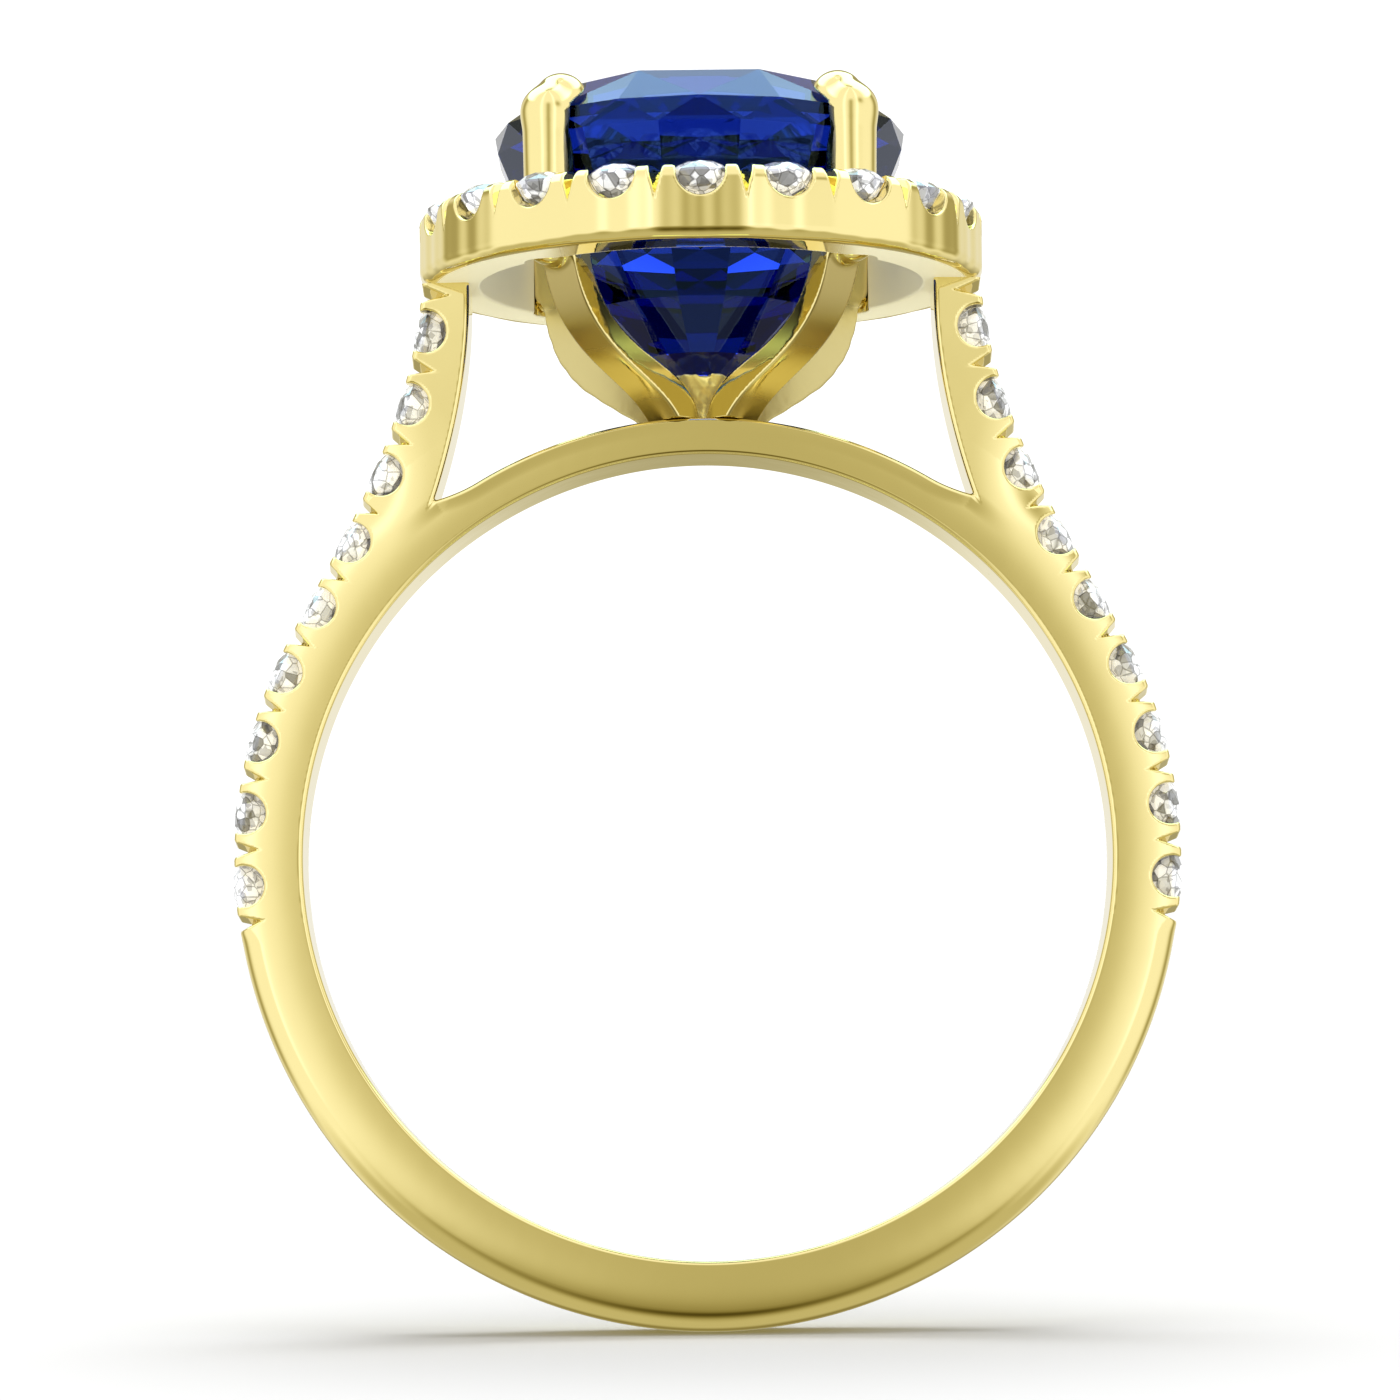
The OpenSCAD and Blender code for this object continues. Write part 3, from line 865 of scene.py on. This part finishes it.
def claw_material(name, arm_rough):
    """Polished tips over arms whose outer and inner faces, below the halo, are rougher and painted
    darker: painted shade. The back claws' arms are also rougher and painted darker all over below
    the halo.
    """
    mat = gold_material(name, POLISH, POLISH_BUMP + arm_rough, ARM_GRAIN)
    tree = mat.node_tree
    m = Maths(tree)
    x, y, z = split_xyz(tree, "ShaderNodeTexCoord", "Object")
    nx, ny, _ = split_xyz(tree, "ShaderNodeNewGeometry", "Normal")
    facing = m.do("DIVIDE", m.add(m.mul(nx, x), m.mul(ny, y)), m.radius(x, y))  # 1 is outward
    below = m.smooth((HALO_Z + 0.25) * MM, (HALO_Z - 0.05) * MM, z)
    # below the halo the back claws' arms are rougher and painted darker: painted shade
    if arm_rough:
        finish_and_shade_over(mat, below, scaled(GOLD, 0.78), arm_rough)
    # arm faces that look outward, and those that look in toward the stone, are painted darker below
    # the halo: painted shade, with a rougher finish
    finish_and_shade_over(mat, m.mul(below, m.smooth(0.5, 0.62, facing)), PAINTED_SHADE_GOLD, 0.3)
    finish_and_shade_over(mat, m.mul(below, m.smooth(-0.4, -0.6, facing)), scaled(GOLD, 0.6), 0.34)
    return mat


def sapphire_material():
    """A clear stone that takes its blue from the length of the light's path through it."""
    mat, tree, shader = new_material("sapphire_blue")
    shader.inputs["Transmission Weight"].default_value = 1
    shader.inputs["IOR"].default_value = SAPPHIRE_IOR
    shader.inputs["Roughness"].default_value = 0
    shader.inputs["Specular Tint"].default_value = GEM_GLOSS
    tone = two_tones(tree, noise(tree, GEM_TONE_SCALE), scaled(SAPPHIRE_TINT, 0.94), SAPPHIRE_TINT)
    tree.links.new(tone, shader.inputs["Base Color"])
    volume = tree.nodes.new("ShaderNodeVolumeAbsorption")
    volume.inputs["Color"].default_value = (*SAPPHIRE_DEPTH, 1)
    volume.inputs["Density"].default_value = SAPPHIRE_DENSITY
    tree.links.new(volume.outputs["Volume"], tree.nodes["Material Output"].inputs["Volume"])
    return mat


def facets(tree, scale, feature="F1"):
    """Cells laid over a stone's own coordinates, for its facets' reflections."""
    coord = tree.nodes.new("ShaderNodeTexCoord")
    node = tree.nodes.new("ShaderNodeTexVoronoi")
    node.feature = feature
    node.inputs["Scale"].default_value = scale
    tree.links.new(coord.outputs["Object"], node.inputs["Vector"])
    return node.outputs


def facet_tones(tree, scale, low, mid):
    """Each cell dark, middling or bright."""
    split = tree.nodes.new("ShaderNodeSeparateColor")
    tree.links.new(facets(tree, scale)["Color"], split.inputs[0])
    ramp = tree.nodes.new("ShaderNodeValToRGB")
    stops = ramp.color_ramp.elements
    stops[0].color = (low, low, low * 1.06, 1)
    stops[1].color = (1, 1, 1, 1)
    for at, v in ((0.22, low), (0.3, mid), (0.5, mid), (0.6, 0.97)):
        stops.new(at).color = (v * 0.98, v * 0.985, v, 1)
    tree.links.new(split.outputs[0], ramp.inputs[0])
    return ramp.outputs[0]


def diamond_material():
    """Small brilliants: painted reflections in cells, bright, grey and dark, with dark lines between
    them, under a hard gloss. The same painted pattern also glows faintly.
    """
    mat, tree, shader = new_material("diamond_white")
    tones = mixed(tree, 1, facet_tones(tree, FACET_SCALE, 0.22, 0.8),
                  facet_tones(tree, FINE_FACET_SCALE, 0.5, 0.92), how="MULTIPLY")
    rims = facets(tree, FACET_SCALE, "DISTANCE_TO_EDGE")["Distance"]
    lines = two_tones(tree, rims, (0.12, 0.12, 0.14), (1, 1, 1), 0.0, 0.08)
    light = mixed(tree, 0.8, tones, lines, how="MULTIPLY")
    tree.links.new(light, shader.inputs["Base Color"])
    # the painted reflections also glow: painted light, not a lamp
    tree.links.new(light, shader.inputs["Emission Color"])
    shader.inputs["Emission Strength"].default_value = 0.55
    shader.inputs["Roughness"].default_value = 0.12
    shader.inputs["IOR"].default_value = 2.0
    shader.inputs["Coat Weight"].default_value = 0.6
    shader.inputs["Coat Roughness"].default_value = 0.02
    shader.inputs["Coat IOR"].default_value = 1.7
    shader.inputs["Transmission Weight"].default_value = 0.05
    return mat


polished = gold_material("gold_polished", POLISH, POLISH_BUMP, POLISH_GRAIN)
materials_by_piece = {"head_base": cast_material(), "halo": halo_material()}
front_claws = claw_material("gold_claw", 0)
back_claws = claw_material("gold_claw_back", 0.3)
for side_name in ("left", "right"):
    materials_by_piece["claw_front_" + side_name] = front_claws
    materials_by_piece["claw_back_" + side_name] = back_claws
sapphire = sapphire_material()
diamond = diamond_material()

for node, obj in gold_pieces.items():
    obj.data.materials.clear()
    obj.data.materials.append(materials_by_piece.get(node, polished))
    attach(obj, "root")
    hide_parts(node)
for node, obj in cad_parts.items():
    if node in gold_pieces:
        continue
    obj.data.materials.clear()
    obj.data.materials.append(sapphire if node == "sapphire" else diamond)


# ---------------------------------------------------------------- stage, light and camera
CAMERA_AT = (-0.126, -120, -9.1)
CAMERA_AIM = (-0.126, 0, 3.34)
CAMERA_ROLL = -0.65
CAMERA_LENS = 147.15
FLOOR_SIZE = 2.0      # metres from the middle to an edge
FLOOR_TILT = 5        # the camera is nearly level, so a flat floor would show as a line
FLOOR_GREYS = (0.71, 0.73)


def make_camera():
    data = bpy.data.cameras.new("camera")
    cam = bpy.data.objects.new("camera", data)
    bpy.context.scene.collection.objects.link(cam)
    data.sensor_width = 36
    data.lens = CAMERA_LENS
    data.clip_start = 0.01
    at = Vector(CAMERA_AT) * MM
    aim = Vector(CAMERA_AIM) * MM
    look = (aim - at).to_track_quat("-Z", "Y").to_matrix().to_4x4()
    cam.matrix_world = Matrix.Translation(at) @ look @ Matrix.Rotation(rad(CAMERA_ROLL), 4, "Z")
    bpy.context.scene.camera = cam


def make_floor():
    """A pale floor just under the ring, hidden from reflections."""
    mesh = bpy.data.meshes.new("floor")
    z = cad_box[0][2] - 0.00001
    rise_y = FLOOR_SIZE * math.tan(rad(FLOOR_TILT))
    bm = bmesh.new()
    bm.faces.new([bm.verts.new((x * FLOOR_SIZE, y * FLOOR_SIZE, z + y * rise_y))
                  for x, y in ((-1, -1), (1, -1), (1, 1), (-1, 1))])
    bmesh.ops.subdivide_edges(bm, edges=bm.edges[:], cuts=4, use_grid_fill=True)
    bm.to_mesh(mesh)
    bm.free()
    floor = bpy.data.objects.new("floor", mesh)
    bpy.context.scene.collection.objects.link(floor)
    mat, tree, shader = new_material("floor_white")
    tone = two_tones(tree, noise(tree, 3), [FLOOR_GREYS[0]] * 3, [FLOOR_GREYS[1]] * 3)
    tree.links.new(tone, shader.inputs["Base Color"])
    shader.inputs["Roughness"].default_value = 0.9
    shader.inputs["Specular IOR Level"].default_value = 0
    mesh.materials.append(mat)
    floor.visible_glossy = False


def make_world():
    """A white light tent over a duller table, with darker places that give the gold its shape.

    Azimuth is 0 toward the camera and grows to the right, elevation is 0 at the horizon, and
    out is the azimuth's size. All are in degrees.
    """
    world = bpy.data.worlds.new("studio")
    bpy.context.scene.world = world
    world.use_nodes = True
    tree = world.node_tree
    m = Maths(tree)
    x, y, z = split_xyz(tree, "ShaderNodeTexCoord", "Generated")
    el = m.mul(m.do("ARCSINE", z), 180 / math.pi)
    az = m.mul(m.do("ARCTAN2", x, m.mul(y, -1)), 180 / math.pi)
    out = m.size(az)

    # the tent, dimmer at the back, with the lens, a card and a strip on each side in it
    tent = m.sub(1.18, m.mul(m.smooth(80, 150, out), 0.26))
    lens = m.mul(m.spot(az, 1, 10), m.smooth(40, 20, el))
    card = m.spot(az, 42, 13, el, 27, 11)
    strips = m.mul(m.spot(out, 118, 14), m.smooth(-30, -15, el))
    tent = m.less(m.less(m.less(tent, 0.5, lens), 0.5, card), 0.55, strips)
    streak = m.mul(m.spot(out, 27, 6), m.smooth(-14, -4, el))
    tent = m.add(tent, m.mul(streak, 0.3))

    # the table, darker under the lens, up to an edge that is highest at the front
    table = m.mul(m.sub(1, m.mul(m.spot(az, 0, 27, el, -39, 25), 0.85)), 0.65)
    edge_el = m.sub(-10, m.mul(m.smooth(0, 60, out), 25))
    above = m.smooth(m.sub(edge_el, 9), m.add(edge_el, 9), el)
    level = m.add(m.mul(tent, above), m.mul(table, m.sub(1, above)))

    # two dark bands at the back, low and high
    low_back = m.between((-2, -10), (-70, -45), el)
    high_back = m.between((14, 22), (50, 42), el)
    level = m.less(level, 0.55, m.mul(m.smooth(140, 165, out), m.add(low_back, high_back)))

    # a bright cool panel overhead, which gives the stones their shine
    low = m.sub(47, m.mul(m.smooth(170, 150, out), 14))
    panel = m.mul(m.between((low, m.add(low, 7)), (86, 78), el), m.smooth(60, 90, out))

    def grey(*levels):
        node = tree.nodes.new("ShaderNodeCombineColor")
        for v, socket in zip(levels, node.inputs):
            tree.links.new(v, socket)
        return node.outputs[0]

    # gold turns a deeper yellow where the tent is darker
    glossy = grey(level, m.do("POWER", level, 1.1), m.do("POWER", level, 1.7))
    result = mixed(tree, panel, glossy, (1.9, 2.8, 3.0, 1))
    dim = m.mul(level, 0.31)
    path = tree.nodes.new("ShaderNodeLightPath")
    for flag, colour in (("Is Transmission Ray", grey(dim, dim, dim)),
                         ("Is Diffuse Ray", (0.62, 0.62, 0.62, 1)),
                         ("Is Camera Ray", (1.2, 1.2, 1.2, 1))):
        result = mixed(tree, path.outputs[flag], result, colour)
    tree.links.new(result, tree.nodes["Background"].inputs["Color"])
    tree.nodes["Background"].inputs["Strength"].default_value = 1


def make_softbox():
    """The wide softbox overhead, which gives the shadow. Reflections see the world's panel."""
    data = bpy.data.lights.new("softbox", "SUN")
    data.angle = rad(50)
    data.energy = 2.6
    lamp = bpy.data.objects.new("softbox", data)
    bpy.context.scene.collection.objects.link(lamp)
    lamp.visible_glossy = False
    lamp.matrix_world = Matrix.Translation((0, 0, 0.3)) @ Matrix.Rotation(rad(-6), 4, "X")


make_camera()
make_floor()
make_world()
make_softbox()
bpy.context.scene.view_settings.view_transform = "Standard"
